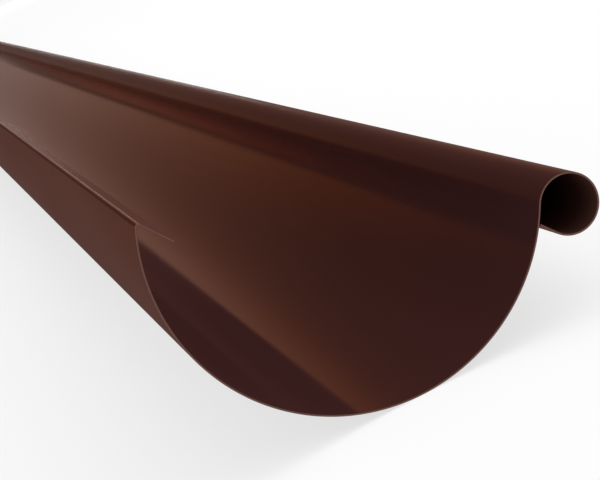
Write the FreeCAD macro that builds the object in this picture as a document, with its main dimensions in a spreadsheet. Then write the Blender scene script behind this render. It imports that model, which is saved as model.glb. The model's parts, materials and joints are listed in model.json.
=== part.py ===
import FreeCAD, Part

import math
import os

import Sketcher
from FreeCAD import Placement, Rotation, Vector

# Half-round eaves gutter, one length of stock.
#
# The gutter is roll-formed from a single strip of coil-coated steel. Seen on its cut end, the strip
# starts with a flat fold that turns back into the trough along the rear edge, goes round the trough,
# rises in a short upright at the front, and is rolled outwards into an open bead. The last
# millimetres of the strip run straight and tuck up against the outside of the trough, so that the
# bead is closed and no sharp edge shows.
#
# Frame of the section sketch: the origin is on the axis of the round trough, x points towards the
# bead and y points up, with the upright vertical. "Face" is the side of the sheet that looks into
# the trough, and "back" is the other side.
#
# Frame of the part: millimetres, +Z up, the gutter's length along Y. The gutter lies on a level
# floor on its round bottom, turned to where it balances, with the heavier bead side down. The
# origin is on the floor, in the middle of the part's bounding box.

# Driving sizes in millimetres, and angles in degrees.
SIZES = (
    ("gutter_length", 3000, "length the stock is sold in"),
    ("inside_diameter", 125, "nominal size: bore of the round trough"),
    ("sheet_thickness", 0.6, "coated steel sheet"),
    ("upright_height", 2, "straight rise between the trough and the bead"),
    ("bead_diameter", 20, "outside of the rolled front bead"),
    ("tail_rise", 23, "slope of the bead's straight tail, up towards the trough"),
    ("tail_gap", 0.3, "gap between the tail's edge and the back of the trough"),
    ("rear_drop", 5, "how far below the axis the round of the trough ends at the rear"),
    ("rear_bend_radius", 0.5, "inside radius of the bend at the rear edge"),
    ("fold_length", 11.5, "flat width of the rear fold"),
    ("fold_slope", 26, "slope of the rear fold, down into the trough"),
)

# Sizes that follow from the driving ones, as formulas on the sheet.
FACE_RADIUS = "Sizes.inside_diameter / 2"
BACK_RADIUS = FACE_RADIUS + " + Sizes.sheet_thickness"
BEAD_RADIUS = "Sizes.bead_diameter / 2"
BEND_RADIUS = "Sizes.rear_bend_radius"
UPRIGHT = "Sizes.upright_height"
REAR_DROP = "Sizes.rear_drop"
FOLD_LENGTH = "Sizes.fold_length"
FOLD_HEADING = "180 - Sizes.fold_slope"
TAIL_HEADING = "180 - Sizes.tail_rise"
TAIL_REACH = BACK_RADIUS + " + Sizes.tail_gap"

NODE = "half_round_gutter"

# How a sketch constraint names the points of a line or an arc, and the sketch's own origin.
START, END, CENTRE = range(1, 4)
ORIGIN = (-1, START)


def make_sheet(doc):
    """The spreadsheet with one named cell for each driving size."""
    sheet = doc.addObject("Spreadsheet::Sheet", "Sizes")
    for row, (alias, number, note) in enumerate(SIZES, start=1):
        cell = "B%d" % row
        sheet.set("A%d" % row, alias)
        sheet.set(cell, str(number))
        sheet.setAlias(cell, alias)
        sheet.set("C%d" % row, note)
    doc.recompute()
    return sheet


def value(sheet, formula):
    """The plain number that a formula on the sheet gives."""
    result = sheet.evalExpression(formula)
    return float(getattr(result, "Value", result))


def polar(centre, radius, angle):
    """The point at this radius and angle, in radians, from a centre."""
    return centre + Vector(radius * math.cos(angle), radius * math.sin(angle), 0)


def arc(centre, radius, first, last):
    """An arc that runs anticlockwise from the first angle to the last."""
    return Part.ArcOfCircle(Part.Circle(centre, Vector(0, 0, 1), radius), first, last)


def strip_side(sheet, offset):
    """One side of the strip, from the tip of the rear fold to the edge of the bead's tail.

    The offset is how far this side lies from the face: none, or the sheet's thickness. It makes the
    bend and the trough larger, and the bead, which rolls the other way, smaller.
    """
    face_radius = value(sheet, FACE_RADIUS)
    bead_radius = value(sheet, BEAD_RADIUS)
    bend_radius = value(sheet, BEND_RADIUS)
    fold = math.radians(value(sheet, FOLD_HEADING))
    tail = math.radians(value(sheet, TAIL_HEADING))

    axis = Vector(0, 0, 0)
    rear = math.pi + math.asin(value(sheet, REAR_DROP) / face_radius)
    bend_centre = polar(axis, face_radius - bend_radius, rear)
    bead_centre = Vector(face_radius + bead_radius, value(sheet, UPRIGHT), 0)

    fold_side = fold - math.pi / 2
    fold_root = polar(bend_centre, bend_radius + offset, fold_side)
    fold_tip = polar(fold_root, -value(sheet, FOLD_LENGTH), fold)

    front = Vector(face_radius + offset, 0, 0)
    upright_top = front + Vector(0, bead_centre.y, 0)

    tail_side = tail + math.pi / 2 - 2 * math.pi
    face_root = polar(bead_centre, bead_radius, tail_side)
    heading = polar(axis, 1, tail)
    along = face_root.dot(heading)
    reach = value(sheet, TAIL_REACH)
    tail_length = -along - math.sqrt(along ** 2 - face_root.dot(face_root) + reach ** 2)
    tail_root = polar(bead_centre, bead_radius - offset, tail_side)
    tail_end = tail_root + heading * tail_length

    return (
        Part.LineSegment(fold_tip, fold_root),
        arc(bend_centre, bend_radius + offset, fold_side, rear),
        arc(axis, face_radius + offset, rear, 2 * math.pi),
        Part.LineSegment(front, upright_top),
        arc(bead_centre, bead_radius - offset, tail_side, math.pi),
        Part.LineSegment(tail_root, tail_end),
    )


def join_smoothly(sketch, fold, bend, trough, upright, bead, tail):
    """Make one side of the strip a single smooth line."""
    for first, first_end, second, second_end in (
            (fold, END, bend, START),
            (bend, END, trough, START),
            (trough, END, upright, START),
            (upright, END, bead, END),
            (bead, START, tail, START)):
        sketch.addConstraint(
            Sketcher.Constraint("Tangent", first, first_end, second, second_end))
    sketch.addConstraint(Sketcher.Constraint("Vertical", upright))


def dimension(sketch, sheet, name, kind, refs, formula):
    """A named dimension on the sketch that follows a formula on the sheet."""
    number = value(sheet, formula)
    if kind == "Angle":
        number = math.radians(number)
    index = sketch.addConstraint(Sketcher.Constraint(kind, *refs, number))
    sketch.renameConstraint(index, name)
    sketch.setExpression("Constraints." + name, formula)


def draw_section(body, sheet):
    """The strip's closed outline, as it shows on the gutter's cut end."""
    sketch = body.newObject("Sketcher::SketchObject", "Section")
    plane = [item for item in body.Origin.OriginFeatures if item.Role == "XZ_Plane"][0]
    sketch.AttachmentSupport = [(plane, "")]
    sketch.MapMode = "FlatFace"

    thickness = value(sheet, "Sizes.sheet_thickness")
    face_lines = strip_side(sheet, 0)
    back_lines = strip_side(sheet, thickness)
    face = [sketch.addGeometry(line, False) for line in face_lines]
    back = [sketch.addGeometry(line, False) for line in back_lines]
    face_fold, face_bend, face_trough, face_upright, face_bead, face_tail = face
    back_fold, back_bend, back_trough, back_upright, back_bead, back_tail = back
    tip_edge = sketch.addGeometry(
        Part.LineSegment(face_lines[0].StartPoint, back_lines[0].StartPoint), False)
    tail_edge = sketch.addGeometry(
        Part.LineSegment(face_lines[-1].EndPoint, back_lines[-1].EndPoint), False)

    join_smoothly(sketch, *face)
    join_smoothly(sketch, *back)

    # The two sides share their centres and directions, so the sheet is equally thick all along.
    sketch.addConstraint([
        Sketcher.Constraint("Coincident", face_trough, CENTRE, *ORIGIN),
        Sketcher.Constraint("Coincident", back_trough, CENTRE, *ORIGIN),
        Sketcher.Constraint("Coincident", back_bend, CENTRE, face_bend, CENTRE),
        Sketcher.Constraint("Coincident", back_bead, CENTRE, face_bead, CENTRE),
        Sketcher.Constraint("Parallel", back_fold, face_fold),
        Sketcher.Constraint("Parallel", back_tail, face_tail),
    ])

    # Both edges of the strip are sheared square.
    for edge, face_line, face_end, back_line, back_end in (
            (tip_edge, face_fold, START, back_fold, START),
            (tail_edge, face_tail, END, back_tail, END)):
        sketch.addConstraint([
            Sketcher.Constraint("Coincident", edge, START, face_line, face_end),
            Sketcher.Constraint("Coincident", edge, END, back_line, back_end),
            Sketcher.Constraint("Perpendicular", edge, face_line),
        ])

    for name, kind, refs, formula in (
            ("trough_face_radius", "Radius", (face_trough,), FACE_RADIUS),
            ("trough_back_radius", "Radius", (back_trough,), BACK_RADIUS),
            ("bend_face_radius", "Radius", (face_bend,), BEND_RADIUS),
            ("bead_face_radius", "Radius", (face_bead,), BEAD_RADIUS),
            ("rear_drop", "DistanceY", (face_trough, START, *ORIGIN), REAR_DROP),
            ("upright_height", "Distance", (face_upright,), UPRIGHT),
            ("fold_length", "Distance", (face_fold,), FOLD_LENGTH),
            ("fold_heading", "Angle", (face_fold,), FOLD_HEADING),
            ("tail_heading", "Angle", (face_tail,), TAIL_HEADING),
            ("tail_reach", "Distance", (face_tail, END, *ORIGIN), TAIL_REACH)):
        dimension(sketch, sheet, name, kind, refs, formula)
    return sketch


def roll_form(doc, sheet):
    """The gutter as a body: its section, drawn out to its length on both sides of the middle."""
    body = doc.addObject("PartDesign::Body", "Gutter")
    body.Label = NODE
    sketch = draw_section(body, sheet)
    length = body.newObject("PartDesign::Pad", "Length")
    length.Profile = sketch
    length.SideType = "Symmetric"
    length.setExpression("Length", "Sizes.gutter_length")
    doc.recompute()
    return body, sketch


def lay_on_floor(body):
    """Turn the gutter to its balance and put it on the floor, centred on the origin.

    A round trough rocks until its centre of mass is straight below its axis.
    """
    weight = body.Shape.CenterOfMass
    tilt = math.degrees(math.atan2(weight.x, -weight.z))
    body.Placement = Placement(Vector(0, 0, 0), Rotation(Vector(0, 1, 0), tilt))
    box = body.Shape.optimalBoundingBox(False)
    body.Placement.Base = Vector(-box.Center.x, -box.Center.y, -box.ZMin)
    return tilt


def check(doc, sheet, body, sketch):
    """Stop on anything that was left failed, and on a volume a thousandth off the strip's own."""
    for item in doc.Objects:
        if {"Invalid", "Error"} & set(item.State):
            raise RuntimeError("%s is %s" % (item.Name, item.State))
    if sketch.solve() != 0 or not sketch.FullyConstrained:
        raise RuntimeError("the section isn't fully defined")
    shape = body.Shape
    if shape.isNull() or not shape.isValid() or len(shape.Solids) != 1:
        raise RuntimeError("%s isn't one valid solid" % body.Label)

    girths = [sum(line.length() for line in strip_side(sheet, offset))
              for offset in (0, value(sheet, "Sizes.sheet_thickness"))]
    section = value(sheet, "Sizes.sheet_thickness") * sum(girths) / 2
    expected = section * value(sheet, "Sizes.gutter_length")
    if not math.isclose(shape.Volume, expected, rel_tol=1e-3):
        raise RuntimeError("volume %.0f, but the strip has %.0f" % (shape.Volume, expected))
    return sum(girths) / 2


def main():
    doc = FreeCAD.newDocument("HalfRoundGutter")
    sheet = make_sheet(doc)
    body, sketch = roll_form(doc, sheet)
    tilt = lay_on_floor(body)
    girth = check(doc, sheet, body, sketch)

    os.makedirs("parts", exist_ok=True)
    body.Shape.exportStep(os.path.join("parts", body.Label + ".step"))
    print("%s: strip %.1f mm wide, %.0f mm3, lies turned %.2f degrees"
          % (body.Label, girth, body.Shape.Volume, tilt))


main()
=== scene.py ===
# %% [markdown]
# # A length of half-round gutter
#
# This lesson dresses one part: three metres of eaves gutter, roll-formed from a strip of coated
# steel. Its solid, at its real size, is loaded first as a fixed frame. Everything made here takes
# its place from that frame, in metres, so nothing is fitted by eye afterwards.
#
# The lesson goes in five steps: read the frame, set the camera, roll the strip into its section
# with Geometry Nodes, paint the coating and the cut edges, and light the part on a plain pale
# floor.

# %% Load the frame
import json
import math

import bpy
from mathutils import Matrix, Vector

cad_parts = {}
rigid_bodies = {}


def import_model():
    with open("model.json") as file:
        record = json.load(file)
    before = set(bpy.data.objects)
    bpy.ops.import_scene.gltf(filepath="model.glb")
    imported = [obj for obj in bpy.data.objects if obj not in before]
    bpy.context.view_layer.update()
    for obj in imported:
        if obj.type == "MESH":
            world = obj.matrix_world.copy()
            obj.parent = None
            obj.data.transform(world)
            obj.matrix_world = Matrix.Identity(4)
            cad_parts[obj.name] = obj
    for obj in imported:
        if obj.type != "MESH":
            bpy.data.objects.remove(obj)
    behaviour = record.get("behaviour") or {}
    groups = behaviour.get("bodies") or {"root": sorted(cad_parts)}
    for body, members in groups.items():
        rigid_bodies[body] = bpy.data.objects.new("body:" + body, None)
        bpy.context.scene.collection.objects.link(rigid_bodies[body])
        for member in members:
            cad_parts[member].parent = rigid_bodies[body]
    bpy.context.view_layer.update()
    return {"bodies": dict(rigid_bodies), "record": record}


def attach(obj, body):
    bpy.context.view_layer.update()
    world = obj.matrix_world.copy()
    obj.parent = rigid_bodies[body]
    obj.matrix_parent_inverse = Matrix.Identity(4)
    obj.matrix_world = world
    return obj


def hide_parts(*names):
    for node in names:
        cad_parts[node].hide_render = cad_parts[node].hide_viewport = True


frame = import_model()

NODE = "half_round_gutter"
BODY = next(iter(frame["bodies"]))
print("node", NODE, "rides on body", BODY)

# %% [markdown]
# ## The section, read from the frame
#
# The part's record states each place where something fastens to the gutter, with its size: the bore
# of the trough, the seat for brackets under it, the bore and the outside of the bead, and the fold
# at the rear. Together they say nearly everything about the section. Its sizes could be typed in
# again, but read from the record they can't drift away from the solid. Only three small ones are
# not in the record, and they are named here.
#
# The gutter lies on its round bottom, turned to where it balances. Its own axes are therefore not
# the floor's: along the bead's direction is its x, and square to that, out of the trough, is its z.
# Working in the gutter's own axes keeps the section's formulas plain. One matrix then lays it down.

# %% Sizes from the record
MM = 0.001
BEND_RADIUS = 0.5 * MM
TAIL_RISE = math.radians(23)
TAIL_GAP = 0.3 * MM

mounts = {mount["name"]: mount for mount in frame["record"]["mounts"]}


def radius_of(name):
    """The radius that the record gives for this mount."""
    return mounts[name]["dims"]["r_mm"] * MM


face_radius = radius_of("trough_bore")
thickness = radius_of("bracket_seat") - face_radius
bead_radius = radius_of("bead_grip")
length = mounts["bead_bore"]["dims"]["length_mm"] * MM

across = Vector(mounts["bead_grip"]["axis"])
tilt = math.atan2(-across.z, across.x)
axis_point = Vector(mounts["trough_bore"]["pos_m"])
laid_down = Matrix.Translation((axis_point.x, 0, axis_point.z)) @ Matrix.Rotation(tilt, 4, "Y")
print("trough radius %.1f mm, sheet %.1f mm, laid down at %.1f degrees"
      % (face_radius / MM, thickness / MM, math.degrees(tilt)))

# %% Places in the gutter's own axes
stood_up = laid_down.inverted()
bead_centre = stood_up @ Vector(mounts["bead_bore"]["pos_m"])
upright_height = bead_centre.z

fold_middle = stood_up @ Vector(mounts["rear_fold_grip"]["pos_m"])
fold_normal = stood_up.to_3x3() @ Vector(mounts["rear_fold_grip"]["axis"])
fold_slope = math.atan2(fold_normal.x, fold_normal.z)
fold_line = Vector((math.cos(fold_slope), 0, -math.sin(fold_slope)))

# The fold's middle plane is half a sheet above the bend's inside, so stepping back down its normal
# gives a point level with the bend's centre. That centre lies on a circle round the trough's axis.
level_point = fold_middle - fold_normal * (BEND_RADIUS + thickness / 2)
centre_radius = face_radius - BEND_RADIUS
ahead = level_point.xz.dot(fold_line.xz)
half_fold = ahead + math.sqrt(ahead ** 2 - level_point.xz.length_squared + centre_radius ** 2)
bend_centre = level_point - fold_line * half_fold
fold_length = 2 * half_fold
rear_angle = math.atan2(bend_centre.z, bend_centre.x) % math.tau
print("upright %.2f mm, fold %.2f mm sloping %.1f degrees, trough starts at %.2f degrees"
      % (upright_height / MM, fold_length / MM, math.degrees(fold_slope), math.degrees(rear_angle)))

# %% [markdown]
# ## The camera
#
# The camera comes before the pieces, so that every piece can be judged in the final view. It stands
# half a metre in front of the near cut end, a little outside and above the rear edge, and looks
# along the gutter with a long lens. It could be aimed at a point on the gutter, but the view also
# leans a little to one side, so its three turns are given instead. They and its place are in the
# gutter's own axes, from the near end of the trough's axis, and the matrix that lays the gutter
# down carries the camera along.

# %% Camera
CAMERA_PLACE = Vector((-0.146, -0.5138, 0.057))
CAMERA_YAW = math.radians(14.5)
CAMERA_PITCH = math.radians(-7.08)
CAMERA_ROLL = math.radians(1.55)
LENS_MM = 107.7
SENSOR_MM = 36.0

near_axis = Matrix.Translation((0, -length / 2, 0))
aim = (Matrix.Rotation(-CAMERA_YAW, 4, "Z")
       @ Matrix.Rotation(math.pi / 2 + CAMERA_PITCH, 4, "X")
       @ Matrix.Rotation(CAMERA_ROLL, 4, "Z"))
camera_data = bpy.data.cameras.new("camera")
camera_data.lens = LENS_MM
camera_data.sensor_width = SENSOR_MM
camera = bpy.data.objects.new("camera", camera_data)
camera.matrix_world = laid_down @ near_axis @ Matrix.Translation(CAMERA_PLACE) @ aim
bpy.context.scene.collection.objects.link(camera)
bpy.context.scene.camera = camera
print("camera at", tuple(round(c, 3) for c in camera.matrix_world.translation))

# %% [markdown]
# ## The strip, as a chain of runs
#
# A real gutter starts as a flat strip on a coil. Pairs of rollers bend it a little at a time, while
# its width along the surface stays the same. The section is therefore a chain of runs: flat fold,
# tight rear bend, round trough, short upright, rolled bead, straight tail. Each run has a length
# along the face of the sheet and a turn, and it starts where the one before it ended, in the same
# direction. A straight run simply has no turn.
#
# The face is the side that looks into the trough. Round bends get more columns of vertices than
# flat runs, because only they need them.

# %% Runs of the strip
tail_heading = math.pi - TAIL_RISE
bead_turn = tail_heading - math.tau - math.pi / 2
bend_turn = math.pi / 2 + rear_angle - (math.pi - fold_slope)
trough_turn = math.tau - rear_angle


def direction(angle):
    """The unit vector at this angle in the section, from x towards z."""
    return Vector((math.cos(angle), 0, math.sin(angle)))


# The tail runs on until its edge is a small gap away from the outside of the trough.
tail_root = bead_centre + direction(tail_heading + math.pi / 2) * bead_radius
along = tail_root.xz.dot(direction(tail_heading).xz)
reach = face_radius + thickness + TAIL_GAP
tail_length = -along - math.sqrt(along ** 2 - tail_root.xz.length_squared + reach ** 2)

RUNS = (
    # name, length along the face, turn to the left, columns
    ("fold", fold_length, 0.0, 4),
    ("bend", BEND_RADIUS * bend_turn, bend_turn, 12),
    ("trough", face_radius * trough_turn, trough_turn, 124),
    ("upright", upright_height, 0.0, 1),
    ("bead", bead_radius * -bead_turn, bead_turn, 84),
    ("tail", tail_length, 0.0, 3),
)
ROWS = 180
columns = sum(run[3] for run in RUNS)
print("strip %.1f mm wide along its face, %d columns" % (sum(run[1] for run in RUNS) / MM, columns))

# %% [markdown]
# ## Node helpers
#
# Both geometry and shader trees are built from the same few moves: add a node, set or link its
# inputs, and pass on one of its outputs. A few small helpers keep the trees below short.

# %% Node helpers
def put(tree, kind, inputs=None, **settings):
    """Adds a node. Its inputs take numbers, colours, materials or the outputs of other nodes."""
    node = tree.nodes.new(kind)
    for name, setting in settings.items():
        setattr(node, name, setting)
    feed(tree, node, inputs or {})
    return node


def feed(tree, node, inputs):
    """Sets or links a node's inputs."""
    for key, source in inputs.items():
        if isinstance(source, bpy.types.NodeSocket):
            tree.links.new(source, node.inputs[key])
        else:
            node.inputs[key].default_value = source


def reckon(tree, operation, *terms, **settings):
    """The result of one math node."""
    node = put(tree, "ShaderNodeMath", dict(enumerate(terms)), operation=operation, **settings)
    return node.outputs[0]


def add_vectors(tree, first, second):
    """The sum of two vectors."""
    return put(tree, "ShaderNodeVectorMath", {0: first, 1: second}, operation="ADD").outputs[0]


def sockets(tree, in_out, named_types):
    """Adds the group's own inputs or outputs, each with a name, a type and perhaps a value."""
    for name, kind, *value in named_types:
        socket = tree.interface.new_socket(
            name=name, in_out=in_out, socket_type="NodeSocket" + kind)
        if value:
            socket.default_value = value[0]


print("helpers:", ", ".join(tool.__name__ for tool in (put, feed, reckon, add_vectors, sockets)))

# %% [markdown]
# ## One run, as a node group
#
# The group moves a point along one run. It works for every column of the strip at once: columns
# before the run have gone none of the way, columns after it have gone all of the way, and the ones
# inside have gone a share. From that share come the angle turned so far and the straight line, or
# chord, across the arc. A chord always points halfway between the first and the last direction. Its
# length is the arc's, times the sine of half the turn, over half the turn.
#
# A profile curve swept along the length would also give this shape. Moving a flat sheet's own
# points was chosen instead, because every point then still knows its place on the strip, which the
# paint needs later.

# %% The run group
LEAST_TURN = 1e-6


def make_run_group():
    """Moves a point along one straight or round run."""
    tree = bpy.data.node_groups.new("Roll One Run", "GeometryNodeTree")
    sockets(tree, "INPUT", (
        ("Column", "Float"), ("First Column", "Float"), ("Columns", "Float", 1.0),
        ("Length", "Float"), ("Turn", "Float"),
        ("Point", "Vector"), ("Heading", "Float"), ("Along", "Float")))
    sockets(tree, "OUTPUT", (
        ("Point", "Vector"), ("Heading", "Float"), ("Along", "Float"), ("Next Column", "Float"),
        ("Share", "Float")))
    given = put(tree, "NodeGroupInput").outputs
    passed = reckon(tree, "SUBTRACT", given["Column"], given["First Column"])
    share = reckon(tree, "DIVIDE", passed, given["Columns"], use_clamp=True)
    turned = reckon(tree, "MULTIPLY", share, given["Turn"])
    gone = reckon(tree, "MULTIPLY", share, given["Length"])

    # A straight run has no turn, and the least turn keeps its division from dividing by nothing.
    half_turn = reckon(tree, "MULTIPLY", turned, 0.5)
    turn_size = reckon(tree, "MAXIMUM", reckon(tree, "ABSOLUTE", half_turn), LEAST_TURN)
    shortening = reckon(tree, "DIVIDE", reckon(tree, "SINE", turn_size), turn_size)
    chord = reckon(tree, "MULTIPLY", gone, shortening)
    middle = reckon(tree, "ADD", given["Heading"], half_turn)
    step = put(tree, "ShaderNodeCombineXYZ", {
        "X": reckon(tree, "MULTIPLY", chord, reckon(tree, "COSINE", middle)),
        "Z": reckon(tree, "MULTIPLY", chord, reckon(tree, "SINE", middle))})
    put(tree, "NodeGroupOutput", {
        "Point": add_vectors(tree, given["Point"], step.outputs[0]),
        "Heading": reckon(tree, "ADD", given["Heading"], turned),
        "Along": reckon(tree, "ADD", given["Along"], gone),
        "Next Column": reckon(tree, "ADD", given["First Column"], given["Columns"]),
        "Share": share})
    return tree


run_group = make_run_group()
print(run_group.name, "has", len(run_group.nodes), "nodes")

# %% [markdown]
# ## The flat strip
#
# The tree starts from a flat slab with many columns, many rows and one sheet of thickness: the
# strip as it leaves the coil. A flat grid with a Solidify modifier would do as well, but a slab has
# its two sides and its four cut edges from the start, and nothing has to tell them apart later.
#
# The slab is a cube of side 1, so a point's X tells its column, its Y its place along the gutter,
# and its Z how deep in the sheet it lies: 0 on the face, 1 on the back. All three are known best
# while the slab is flat, so they are worked out before anything moves.

# %% The flat slab
def remember(tree, geometry, name, value, data_type="FLOAT", domain="POINT"):
    """Stores a value on the mesh, where the materials can read it."""
    return put(tree, "GeometryNodeStoreNamedAttribute", {
        "Geometry": geometry, "Name": name, "Value": value},
        data_type=data_type, domain=domain).outputs[0]


def flat_slab(tree, given):
    """The slab, and for each of its points the column, the place along the gutter and the depth."""
    total = given[RUNS[0][0] + " columns"]
    for name, *_ in RUNS[1:]:
        total = reckon(tree, "ADD", total, given[name + " columns"])
    slab = put(tree, "GeometryNodeMeshCube", {
        "Size": (1, 1, 1), "Vertices X": reckon(tree, "ADD", total, 1.0),
        "Vertices Y": reckon(tree, "ADD", given["Rows"], 1.0), "Vertices Z": 2})
    position = put(tree, "GeometryNodeInputPosition").outputs[0]
    flat = put(tree, "ShaderNodeSeparateXYZ", {0: position}).outputs
    depth = reckon(tree, "SUBTRACT", 0.5, flat["Z"])
    column = reckon(tree, "MULTIPLY", reckon(tree, "ADD", flat["X"], 0.5), total)
    lengthwise = reckon(tree, "MULTIPLY", flat["Y"], given["Gutter Length"])
    return remember(tree, slab.outputs["Mesh"], "depth", depth), column, lengthwise, depth


print("slab of", columns, "columns by", ROWS, "rows")

# %% [markdown]
# ## Rolling it
#
# Six copies of the run group bend the strip, each handing its end point and heading to the next.
# The slab's underside follows at one thickness from the face, square to the heading, so the sheet
# is equally thick everywhere and its four cut edges stay flat.
#
# Rolled sheet is never perfectly true. A slow wave of about a tenth of a millimetre is pressed into
# the trough, and it is what makes the reflections in a real gutter wander a little. The wave fades
# out towards the stiff bends. It is a noise that depends on the place on the strip alone, so it
# comes out the same on every run.

# %% Rolling the section
WAVE_HEIGHT = 0.12 * MM
WAVES_PER_METRE = 6.0


def roll_runs(tree, given, column):
    """Where each column ends on the face, and what share of each run it has gone."""
    run = {"Point": given["Fold Edge"], "Heading": given["Fold Heading"], "Along": 0.0,
           "Next Column": 0.0}
    shares = {}
    for name, *_ in RUNS:
        run = put(tree, "GeometryNodeGroup", {
            "Column": column, "First Column": run["Next Column"],
            "Columns": given[name + " columns"], "Length": given[name + " length"],
            "Turn": given[name + " turn"], "Point": run["Point"],
            "Heading": run["Heading"], "Along": run["Along"]},
            node_tree=run_group, label=name).outputs
        shares[name] = run["Share"]
    return run, shares


def wave_in_trough(tree, given, on_sheet, trough_share):
    """How far the wave lifts the sheet. It is nothing at both ends of the trough."""
    wave = put(tree, "ShaderNodeTexNoise", {
        "Vector": on_sheet, "Scale": given["Waves per Metre"], "Detail": 1.0}).outputs["Fac"]
    freedom = reckon(tree, "SINE", reckon(tree, "MULTIPLY", trough_share, math.pi))
    return reckon(tree, "MULTIPLY", reckon(tree, "MULTIPLY", wave, freedom), given["Wave Height"])


def place_in_sheet(tree, given, run, lengthwise, depth, lift):
    """Steps from the face's point into the sheet and out along the gutter."""
    sunk = reckon(tree, "MULTIPLY", depth, given["Sheet Thickness"])
    outward = put(tree, "ShaderNodeCombineXYZ", {
        "X": reckon(tree, "MULTIPLY", reckon(tree, "SINE", run["Heading"]), -1.0),
        "Z": reckon(tree, "COSINE", run["Heading"])}).outputs[0]
    shift = put(tree, "ShaderNodeVectorMath", {
        0: outward, "Scale": reckon(tree, "SUBTRACT", lift, sunk)}, operation="SCALE").outputs[0]
    spread = put(tree, "ShaderNodeCombineXYZ", {"Y": lengthwise}).outputs[0]
    return add_vectors(tree, add_vectors(tree, run["Point"], shift), spread)


print("wave of at most %.2f mm, %.0f to the metre" % (WAVE_HEIGHT / MM, WAVES_PER_METRE))

# %% [markdown]
# ## What the paint will ask
#
# Four things are remembered on the mesh for the paint. The UV map "strip" holds the place on the
# flat strip in metres, and "depth" tells how deep in the sheet a point lies. "worked" grows to 1
# over the last part of the trough and stays there on the rim and the bead, which pass the most
# rollers. The fourth swings once through 1 and -1 across the tight rear bend. It is painted light:
# above 0 a painted highlight along the bend, below 0 a painted dark line beside it.
#
# The sheet is smooth, and the corners where it was cut are sharp. Which of the three finishes a
# side gets follows from its depth.

# %% Marks and finishes
WORKED_TROUGH_SHARE = 1 / 12
SHARP_EDGE = math.radians(60)
FACE_BEFORE = 0.25
BACK_AFTER = 0.75


def remember_for_paint(tree, geometry, on_sheet, shares):
    """Stores the place on the strip, how hard each part was worked, and the painted light at the
    bend.
    """
    # 0 up to the trough's last part, then rising to 1 at its end.
    near_rim = reckon(tree, "MULTIPLY_ADD", shares["trough"], 1 / WORKED_TROUGH_SHARE,
                      1 - 1 / WORKED_TROUGH_SHARE, use_clamp=True)
    # Painted light across the rear bend: a painted highlight where this is above 0, a painted dark
    # line where it is below.
    painted_bend_swing = reckon(tree, "SINE", reckon(tree, "MULTIPLY", shares["bend"], math.tau))
    geometry = remember(tree, geometry, "strip", on_sheet, "FLOAT2", "CORNER")
    geometry = remember(tree, geometry, "worked", near_rim)
    return remember(tree, geometry, "bend_light", painted_bend_swing)


def smooth_with_sharp_cuts(tree, geometry):
    """Shades the sheet smooth, apart from the corners at its cut edges."""
    smooth = put(tree, "GeometryNodeSetShadeSmooth", {"Geometry": geometry})
    bent = put(tree, "GeometryNodeInputMeshEdgeAngle").outputs["Unsigned Angle"]
    return put(tree, "GeometryNodeSetShadeSmooth", {
        "Geometry": smooth.outputs[0], "Shade Smooth": False,
        "Selection": reckon(tree, "GREATER_THAN", bent, SHARP_EDGE)}, domain="EDGE").outputs[0]


def finish_by_depth(tree, given, geometry):
    """The cut edge's finish everywhere, then the face's coat and the back's over it."""
    # A side's depth is the mean of its corners: 0 on the face, 1 on the back, a half where cut.
    side = put(tree, "GeometryNodeInputNamedAttribute", {"Name": "depth"},
               data_type="FLOAT").outputs[0]
    cut = put(tree, "GeometryNodeSetMaterial", {
        "Geometry": geometry, "Material": given["Cut Edge"]})
    face = put(tree, "GeometryNodeSetMaterial", {
        "Geometry": cut.outputs[0], "Material": given["Face Coat"],
        "Selection": reckon(tree, "LESS_THAN", side, FACE_BEFORE)})
    back = put(tree, "GeometryNodeSetMaterial", {
        "Geometry": face.outputs[0], "Material": given["Backing Coat"],
        "Selection": reckon(tree, "GREATER_THAN", side, BACK_AFTER)})
    return back.outputs[0]


print("worked over the last %.1f mm of the trough"
      % (WORKED_TROUGH_SHARE * face_radius * trough_turn / MM))

# %% [markdown]
# ## The whole tree
#
# The steps are put together in the order of a mill: slab, marks, rolling, and laying the gutter
# down where it balances. Every size is a named input, so the same tree rolls another gutter as
# well.

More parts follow.
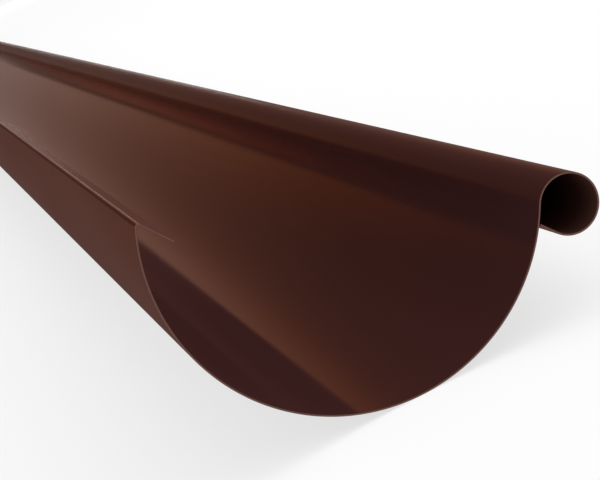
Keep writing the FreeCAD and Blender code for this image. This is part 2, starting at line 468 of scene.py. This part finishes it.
# %% The strip tree
def make_strip_tree():
    """Rolls a strip of the given sizes into a gutter and gives its sides their materials."""
    tree = bpy.data.node_groups.new("Rolled Strip", "GeometryNodeTree")
    sockets(tree, "INPUT", (
        ("Geometry", "Geometry"), ("Gutter Length", "Float"), ("Sheet Thickness", "Float"),
        ("Rows", "Int"), ("Fold Edge", "Vector"), ("Fold Heading", "Float"),
        ("Wave Height", "Float"), ("Waves per Metre", "Float"),
        ("Turn Down", "Float"), ("Axis Point", "Vector"),
        ("Face Coat", "Material"), ("Backing Coat", "Material"), ("Cut Edge", "Material")))
    for name, *_ in RUNS:
        sockets(tree, "INPUT", (
            (name + " length", "Float"), (name + " turn", "Float"), (name + " columns", "Int")))
    sockets(tree, "OUTPUT", (("Geometry", "Geometry"),))
    given = put(tree, "NodeGroupInput").outputs

    slab, column, lengthwise, depth = flat_slab(tree, given)
    run, shares = roll_runs(tree, given, column)
    on_sheet = put(tree, "ShaderNodeCombineXYZ", {"X": run["Along"], "Y": lengthwise}).outputs[0]
    lift = wave_in_trough(tree, given, on_sheet, shares["trough"])
    marked = remember_for_paint(tree, slab, on_sheet, shares)
    rolled = put(tree, "GeometryNodeSetPosition", {
        "Geometry": marked, "Position": place_in_sheet(tree, given, run, lengthwise, depth, lift)})
    laid = put(tree, "GeometryNodeTransform", {
        "Geometry": rolled.outputs[0], "Translation": given["Axis Point"],
        "Rotation": put(tree, "ShaderNodeCombineXYZ", {"Y": given["Turn Down"]}).outputs[0]})
    shaded = smooth_with_sharp_cuts(tree, laid.outputs[0])
    real = put(tree, "GeometryNodeRealizeInstances", {"Geometry": shaded})
    put(tree, "NodeGroupOutput", {"Geometry": finish_by_depth(tree, given, real.outputs[0])})
    return tree


strip_tree = make_strip_tree()
print(strip_tree.name, "has", len(strip_tree.nodes), "nodes")

# %% [markdown]
# ## The paint on the coil
#
# The strip is painted before it is rolled: primer and a dark brown top coat are laid on by rollers
# and baked, on both sides. What the trough shows is the face coat. It is thick, smooth and glossy,
# so at a flat angle it mirrors the far wall and the room, and its mirror is tinted brown, as light
# passes through the colour twice. The other side gets a thin backing coat, which is duller.
#
# Rolling leaves its traces too. Where the sheet was worked the most, the gloss is duller. Along the
# rear bend the colour carries a painted highlight, paler and greyer, in place of the bend's
# reflection, and right beside that line a painted dark line of shade.
#
# Both coats come off the same kind of roller. So one shader group gives what they share: a very
# fine orange peel, long faint lines that the forming rollers leave, and a slow drift of colour and
# gloss. An image could hold all this too, but over three metres it would turn coarse when seen
# close up. Noise stays fine at any distance. It is drawn on the flat strip's own coordinates, and
# therefore follows every bend.

# %% What a roller leaves
PEEL_PER_METRE = 700.0
LINES_PER_METRE = (420.0, 1.2, 1.0)
DRIFT_PER_METRE = (22.0, 3.5, 1.0)
LINE_SHARE = 0.75
NOISE_LOW, NOISE_HIGH = 0.3, 0.7
GREYED_WITH_PAINTED_LIGHT = 0.2


def make_roller_marks():
    """Colour, roughness and height of a coat, from the coat's own values."""
    tree = bpy.data.node_groups.new("Roller Marks", "ShaderNodeTree")
    sockets(tree, "INPUT", (
        ("Strip", "Vector"), ("Colour", "Color"), ("Colour Drift", "Float"), ("Paleness", "Float"),
        ("Roughness", "Float"), ("Roughness Drift", "Float")))
    sockets(tree, "OUTPUT", (("Colour", "Color"), ("Roughness", "Float"), ("Height", "Float")))
    given = put(tree, "NodeGroupInput").outputs

    def pattern(scale, detail):
        placed = put(tree, "ShaderNodeMapping", {"Vector": given["Strip"], "Scale": scale})
        return put(tree, "ShaderNodeTexNoise", {
            "Vector": placed.outputs[0], "Scale": 1.0, "Detail": detail}).outputs["Fac"]

    peel = pattern((PEEL_PER_METRE,) * 3, detail=1.0)
    lines = pattern(LINES_PER_METRE, detail=3.0)
    drift = pattern(DRIFT_PER_METRE, detail=2.0)
    height = reckon(tree, "ADD", reckon(tree, "MULTIPLY", lines, LINE_SHARE),
                    reckon(tree, "MULTIPLY", peel, 1 - LINE_SHARE))

    # Noise seldom leaves its middle range, so that range is spread out to swing from -1 to 1.
    swing = put(tree, "ShaderNodeMapRange", {
        "Value": drift, "From Min": NOISE_LOW, "From Max": NOISE_HIGH,
        "To Min": -1.0, "To Max": 1.0}).outputs[0]
    # Colour Drift and the painted light are shares of the colour's own value, up or down. The
    # painted light is a painted highlight above 0 and painted shade below 0, and it also greys the
    # highlight.
    brightness = reckon(tree, "MULTIPLY_ADD", swing, given["Colour Drift"],
                        reckon(tree, "ADD", given["Paleness"], 1.0))
    greyness = reckon(tree, "MULTIPLY_ADD", given["Paleness"], -GREYED_WITH_PAINTED_LIGHT, 1.0)
    colour = put(tree, "ShaderNodeHueSaturation", {
        "Saturation": greyness, "Value": brightness, "Color": given["Colour"]})
    roughness = reckon(tree, "MULTIPLY_ADD", swing, given["Roughness Drift"], given["Roughness"])
    put(tree, "NodeGroupOutput", {
        "Colour": colour.outputs[0], "Roughness": roughness, "Height": height})
    return tree


roller_marks = make_roller_marks()
print(roller_marks.name, "has", len(roller_marks.nodes), "nodes")

# %% [markdown]
# ## The two coats
#
# Glossy paint is often made as a matt colour under a clear layer. A clear layer mirrors white,
# though, and this gloss mirrors brown. A small metallic share with a tint for flat angles gives
# that at once. Both coats take the same recipe with their own values: the face's is darker and
# glossier, the back's is lighter and duller, and the rollers' marks stand a little higher in it.
# The back's lighter colour is partly its own and partly a painted reflection of the pale floor,
# which the outer wall mirrors at a flat angle.

# %% Face coat and backing coat
FACE_BROWN = (0.053, 0.0197, 0.0192, 1.0)
FACE_METALLIC = 0.275
FACE_TINT = (1.0, 0.52, 0.36, 1.0)
FACE_ROUGHNESS = 0.07
# The back's lighter brown is partly a painted reflection of the pale floor on the outer wall.
BACK_BROWN = (0.088, 0.036, 0.0275, 1.0)
BACK_METALLIC = 0.13
BACK_TINT = (0.55, 0.22, 0.13, 1.0)
BACK_ROUGHNESS = 0.28
DULLED_BY_WORK = 0.22
# Painted highlight and painted dark line along the rear bend, as shares of the colour's value.
PAINTED_BEND_HIGHLIGHT = 0.9
PAINTED_BEND_SHADE = 0.45
COLOUR_DRIFT = 0.05
ROUGHNESS_DRIFT = 0.15
FACE_MARKS = 0.004 * MM
BACK_MARKS = 0.008 * MM


def make_coat(name, brown, metallic, tint, roughness, mark_height):
    """A baked coat, duller where it was worked, with a painted highlight and a painted dark line at
    the bend.
    """
    material = bpy.data.materials.new(name)
    material.use_nodes = True
    tree = material.node_tree
    surface = tree.nodes["Principled BSDF"]
    strip = put(tree, "ShaderNodeUVMap", uv_map="strip").outputs[0]
    worked = put(tree, "ShaderNodeAttribute", attribute_name="worked").outputs["Fac"]
    duller = reckon(tree, "MULTIPLY_ADD", worked, DULLED_BY_WORK, roughness)
    bend_light = put(tree, "ShaderNodeAttribute", attribute_name="bend_light").outputs["Fac"]
    # Painted light at the bend: above 0 the larger share paints a highlight, below 0 the smaller a
    # dark line.
    painted_highlight = reckon(tree, "MAXIMUM", reckon(tree, "MULTIPLY", bend_light, PAINTED_BEND_HIGHLIGHT),
                   reckon(tree, "MULTIPLY", bend_light, PAINTED_BEND_SHADE))
    marks = put(tree, "ShaderNodeGroup", {
        "Strip": strip, "Colour": brown, "Colour Drift": COLOUR_DRIFT, "Paleness": painted_highlight,
        "Roughness": duller, "Roughness Drift": roughness * ROUGHNESS_DRIFT},
        node_tree=roller_marks).outputs
    bump = put(tree, "ShaderNodeBump", {"Height": marks["Height"], "Distance": mark_height})
    feed(tree, surface, {
        "Base Color": marks["Colour"], "Roughness": marks["Roughness"],
        "Normal": bump.outputs[0], "Metallic": metallic, "Specular Tint": tint,
        "Specular IOR Level": 0.0})
    return material


face_coat = make_coat(
    "face_coat", FACE_BROWN, FACE_METALLIC, FACE_TINT, FACE_ROUGHNESS, FACE_MARKS)
backing_coat = make_coat(
    "backing_coat", BACK_BROWN, BACK_METALLIC, BACK_TINT, BACK_ROUGHNESS, BACK_MARKS)
print(face_coat.name, "and", backing_coat.name)

# %% [markdown]
# ## The cut edges
#
# Shears part the strip at both ends, and slitting knives cut its two long edges. A cut edge is
# never one colour. Each rim has a line of paint, which the blade drags a little way over the steel.
# Below the rim on the blade's side the steel is burnished, and further on, where it tore, it is
# dull and grainy. Each band could be a narrow face of its own, but then its border would be a
# straight line. Here a colour ramp draws the bands by how deep a point lies in the sheet, and noise
# pushes that depth to and fro, which makes the borders ragged.

# %% Cut edge
RIM_BROWN = (0.045, 0.020, 0.017, 1.0)
DRAGGED_BROWN = (0.125, 0.056, 0.043, 1.0)
TORN_STEEL = (0.165, 0.086, 0.068, 1.0)
BURNISHED_UNTIL = 0.38
TORN_FROM = 0.48
CUT_BANDS = (
    # how deep in the sheet, from face to back, and the colour there
    (0.03, RIM_BROWN), (0.10, DRAGGED_BROWN), (BURNISHED_UNTIL, DRAGGED_BROWN),
    (TORN_FROM, TORN_STEEL), (0.90, TORN_STEEL), (0.97, RIM_BROWN),
)
RAGGEDNESS = 0.16
BURNISHED_ROUGHNESS = 0.32
TORN_ROUGHNESS = 0.6
GRAINS_PER_METRE = 5000.0
GRAIN_HEIGHT = 0.01 * MM
BARE_METALLIC = 0.08
BARE_GLOSS = 0.1


def make_cut_edge():
    """Bare steel between two rims of paint, burnished on one side and torn on the other."""
    material = bpy.data.materials.new("cut_edge")
    material.use_nodes = True
    tree = material.node_tree
    surface = tree.nodes["Principled BSDF"]
    depth = put(tree, "ShaderNodeAttribute", attribute_name="depth").outputs["Fac"]
    place = put(tree, "ShaderNodeTexCoord").outputs["Object"]
    grain = put(tree, "ShaderNodeTexNoise", {
        "Vector": place, "Scale": GRAINS_PER_METRE, "Detail": 2.0}).outputs["Fac"]
    ragged = reckon(tree, "MULTIPLY_ADD", grain, RAGGEDNESS,
                    reckon(tree, "SUBTRACT", depth, RAGGEDNESS / 2))
    bands = put(tree, "ShaderNodeValToRGB", {"Fac": ragged})
    # A new ramp has two stops of its own, which become the first and the last band.
    stops = bands.color_ramp.elements
    stops[0].position, stops[0].color = CUT_BANDS[0]
    stops[1].position, stops[1].color = CUT_BANDS[-1]
    for position, colour in CUT_BANDS[1:-1]:
        stops.new(position).color = colour
    torn = put(tree, "ShaderNodeMapRange", {
        "Value": ragged, "From Min": BURNISHED_UNTIL, "From Max": TORN_FROM,
        "To Min": BURNISHED_ROUGHNESS, "To Max": TORN_ROUGHNESS}).outputs[0]
    bump = put(tree, "ShaderNodeBump", {"Height": grain, "Distance": GRAIN_HEIGHT})
    feed(tree, surface, {
        "Base Color": bands.outputs["Color"], "Roughness": torn, "Normal": bump.outputs[0],
        "Metallic": BARE_METALLIC, "Specular IOR Level": BARE_GLOSS})
    return material


cut_edge = make_cut_edge()
print(cut_edge.name, "has", len(cut_edge.node_tree.nodes), "nodes")

# %% [markdown]
# ## Making the piece
#
# The tree needs an object to work on, so an empty blank carries its modifier. The modifier's inputs
# are set by each socket's identifier before anything is evaluated: a tree may have two inputs of
# one name, but never of one identifier. The result is then turned into a plain mesh, because the
# piece has to stand without its modifier, and it takes the plain solid's place on the same body.

# %% Roll the gutter
fold_heading = math.pi - fold_slope
fold_edge = (bend_centre + direction(fold_heading - math.pi / 2) * BEND_RADIUS
             - direction(fold_heading) * fold_length)
settings = {
    "Gutter Length": length, "Sheet Thickness": thickness, "Rows": ROWS,
    "Fold Edge": fold_edge, "Fold Heading": fold_heading,
    "Wave Height": WAVE_HEIGHT, "Waves per Metre": WAVES_PER_METRE,
    "Turn Down": tilt, "Axis Point": laid_down.translation,
    "Face Coat": face_coat, "Backing Coat": backing_coat, "Cut Edge": cut_edge,
}
for name, run_length, turn, run_columns in RUNS:
    settings[name + " length"] = run_length
    settings[name + " turn"] = turn
    settings[name + " columns"] = run_columns

blank = bpy.data.objects.new("blank", bpy.data.meshes.new("blank"))
bpy.context.scene.collection.objects.link(blank)
modifier = blank.modifiers.new("Rolled Strip", "NODES")
modifier.node_group = strip_tree
for item in strip_tree.interface.items_tree:
    if item.in_out == "INPUT" and item.name in settings:
        modifier[item.identifier] = settings[item.name]

rolled = blank.evaluated_get(bpy.context.evaluated_depsgraph_get())
gutter_mesh = bpy.data.meshes.new_from_object(rolled)
# The result starts with an empty material slot, which no face uses.
gutter_mesh.materials.pop(index=0)
bpy.data.objects.remove(blank)
gutter = bpy.data.objects.new("rolled_gutter", gutter_mesh)
bpy.context.scene.collection.objects.link(gutter)
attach(gutter, BODY)
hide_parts(NODE)
print(gutter.name, len(gutter_mesh.polygons), "faces,", [m.name for m in gutter_mesh.materials])

# %% [markdown]
# ## Floor, backdrop and light
#
# At a flat angle glossy paint shows little of its own colour and much of the room. A studio for
# such a part is therefore built for its reflections: a pale floor, a white backdrop low all round,
# and a dimmer ceiling. The low white makes the lit parts of the trough, and the ceiling its dark
# ones.
#
# What is seen and what lights the part are kept apart. Rays from the camera, from reflections and
# through clear things see the floor glowing nearly white, and the backdrop white. The light that
# falls on the gutter stays plain and even, at a level where a colour comes out about as it is
# written. The floor still takes a share of that light, so it keeps the gutter's shadow.

# %% Floor
FLOOR_REACH = 60.0
FLOOR_GLOW = 0.7
FLOOR_WHITE = 0.92
WHITE = (1.0, 1.0, 1.0, 1.0)


def seen_directly(tree):
    """1 for rays from the camera, a reflection or a clear thing, 0 for light on a surface."""
    path = put(tree, "ShaderNodeLightPath").outputs
    seen = reckon(tree, "MAXIMUM", path["Is Camera Ray"], path["Is Glossy Ray"])
    return reckon(tree, "MAXIMUM", seen, path["Is Transmission Ray"])


floor_mesh = bpy.data.meshes.new("floor")
corners = [(x * FLOOR_REACH, y * FLOOR_REACH, 0) for x, y in ((-1, -1), (1, -1), (1, 1), (-1, 1))]
floor_mesh.from_pydata(corners, [], [(0, 1, 2, 3)])
floor = bpy.data.objects.new("floor", floor_mesh)
bpy.context.scene.collection.objects.link(floor)

floor_paint = bpy.data.materials.new("floor")
floor_paint.use_nodes = True
tree = floor_paint.node_tree
tree.nodes.clear()
matt = put(tree, "ShaderNodeBsdfDiffuse", {"Color": (FLOOR_WHITE,) * 3 + (1.0,)})
glow = put(tree, "ShaderNodeEmission", {"Color": WHITE, "Strength": 1.0})
mix = put(tree, "ShaderNodeMixShader", {
    0: reckon(tree, "MULTIPLY", seen_directly(tree), FLOOR_GLOW),
    1: matt.outputs[0], 2: glow.outputs[0]})
put(tree, "ShaderNodeOutputMaterial", {"Surface": mix.outputs[0]})
floor_mesh.materials.append(floor_paint)
print("floor reaches %.0f m each way and shows %.0f%% of a shadow"
      % (FLOOR_REACH, 100 * (1 - FLOOR_GLOW)))

# %% [markdown]
# The backdrop and the ceiling are one world. Its height coordinate is 0 at the horizon and 1
# overhead, and a smooth step turns it into the fall from white to dim. A second step dims the wall
# on the gutter's rear side a little, so that the trough's bead side mirrors less of it.

# %% World
ROOM_LIGHT = 0.78
SKY_TOP = 0.17
SKY_FROM = 0.0
SKY_TO = 0.32
REAR_WALL = 0.6
REAR_FROM = -0.08
REAR_TO = -0.4

world = bpy.data.worlds.new("studio")
bpy.context.scene.world = world
world.use_nodes = True
tree = world.node_tree
tree.nodes.clear()
outlook = put(tree, "ShaderNodeTexCoord").outputs["Generated"]
heading = put(tree, "ShaderNodeSeparateXYZ", {0: outlook}).outputs
ceiling = put(tree, "ShaderNodeMapRange", {
    "Value": heading["Z"], "From Min": SKY_FROM, "From Max": SKY_TO, "To Min": 1.0,
    "To Max": SKY_TOP}, interpolation_type="SMOOTHSTEP").outputs[0]
wall = put(tree, "ShaderNodeMapRange", {
    "Value": heading["X"], "From Min": REAR_FROM, "From Max": REAR_TO, "To Min": 1.0,
    "To Max": REAR_WALL}, interpolation_type="SMOOTHSTEP").outputs[0]
level = reckon(tree, "MULTIPLY", ceiling, wall)
room = put(tree, "ShaderNodeBackground", {"Color": WHITE, "Strength": ROOM_LIGHT})
seen = put(tree, "ShaderNodeBackground", {"Color": WHITE, "Strength": level})
mix = put(tree, "ShaderNodeMixShader", {
    0: seen_directly(tree), 1: room.outputs[0], 2: seen.outputs[0]})
put(tree, "ShaderNodeOutputWorld", {"Surface": mix.outputs[0]})
print("white at %.0f degrees above the horizon, falling to %.2f of that at %.0f degrees"
      % (math.degrees(math.asin(SKY_FROM)), SKY_TOP, math.degrees(math.asin(SKY_TO))))

# %% [markdown]
# Two soft lamps complete the studio. A large softbox hangs high at the bead's side. It is dim
# beside the room's light and only gives the shadow a side. A small strip light stands on the floor
# past the far end. Its light reaches the narrow zone under the bead by way of the trough's rear
# wall, where paint sees only paint and would otherwise turn black towards the far end. Brown paint
# reddens such light twice, so the strip light is a little cool. The camera doesn't see the light
# itself.

# %% Lamps
SOFTBOX = {"place": (1.2, -0.6, 2.6), "aim": (0, 0, 0), "size": (2.0, 4.0), "power": 40.0,
           "colour": (1.0, 1.0, 1.0)}
STRIP_LIGHT = {"place": (0.575, 2.9, 0.1), "aim": (0.575, 0, 0.1), "size": (0.75, 0.18),
               "power": 4.6, "colour": (0.78, 0.94, 1.0)}


def hang_lamp(name, place, aim, size, power, colour):
    """Hangs a rectangular lamp that faces its aim."""
    data = bpy.data.lights.new(name, "AREA")
    data.shape = "RECTANGLE"
    data.size, data.size_y = size
    data.energy = power
    data.color = colour
    lamp = bpy.data.objects.new(name, data)
    lamp.location = place
    lamp.rotation_euler = (Vector(aim) - Vector(place)).to_track_quat("-Z", "Y").to_euler()
    bpy.context.scene.collection.objects.link(lamp)
    print("%s of %.1f W, %.2f by %.2f m" % (name, power, *size))
    return lamp


hang_lamp("softbox", **SOFTBOX)
hang_lamp("strip_light", **STRIP_LIGHT).visible_camera = False

# %% [markdown]
# ## Finish
#
# The colours are shown as they are, without a film curve.

# %% Finish
bpy.context.scene.view_settings.view_transform = "Standard"
bpy.context.view_layer.update()
